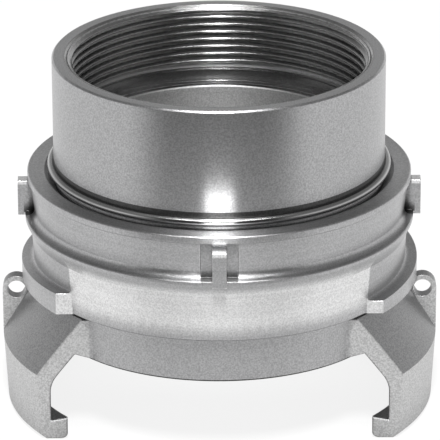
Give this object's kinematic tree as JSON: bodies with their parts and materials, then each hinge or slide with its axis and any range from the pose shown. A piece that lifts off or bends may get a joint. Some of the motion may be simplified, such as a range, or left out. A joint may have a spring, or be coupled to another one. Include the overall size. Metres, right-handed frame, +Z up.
{
  "type": "half hose coupling with quarter-turn locking ring",
  "caption": "Symmetrical half coupling for hose and suction pipe: a threaded socket and two hooks in one casting, with a turning locking ring whose ramped cams draw two halves together.",
  "frame": {"origin": "on the coupling's axis, level with the bottoms of the two hooks, on which the part stands", "axes": "+Z up the axis to the threaded socket's rim; +X to the middle of one hook; +Y at right angles, where the locking ring and the skirt have no hook"},
  "size_m": [0.1284, 0.1182, 0.1059],
  "materials": {
    "cast_body": "cast and partly turned, dull silver grey",
    "turned_ring": "cast and partly turned, satin silver grey",
    "spring_wire": "bright round spring wire",
    "seal_rubber": "matte black rubber"
  },
  "bodies": {
    "body": {"coupling_body": "cast_body", "snap_ring": "spring_wire", "face_seal": "seal_rubber"},
    "ring": {"locking_ring": "turned_ring"}
  },
  "joints": [
    {"name": "ring_turn", "type": "hinge", "parent": "body", "child": "ring", "pos_m": [0, 0, 0.055], "axis": [0, 0, 1], "continuous": true}
  ]
}
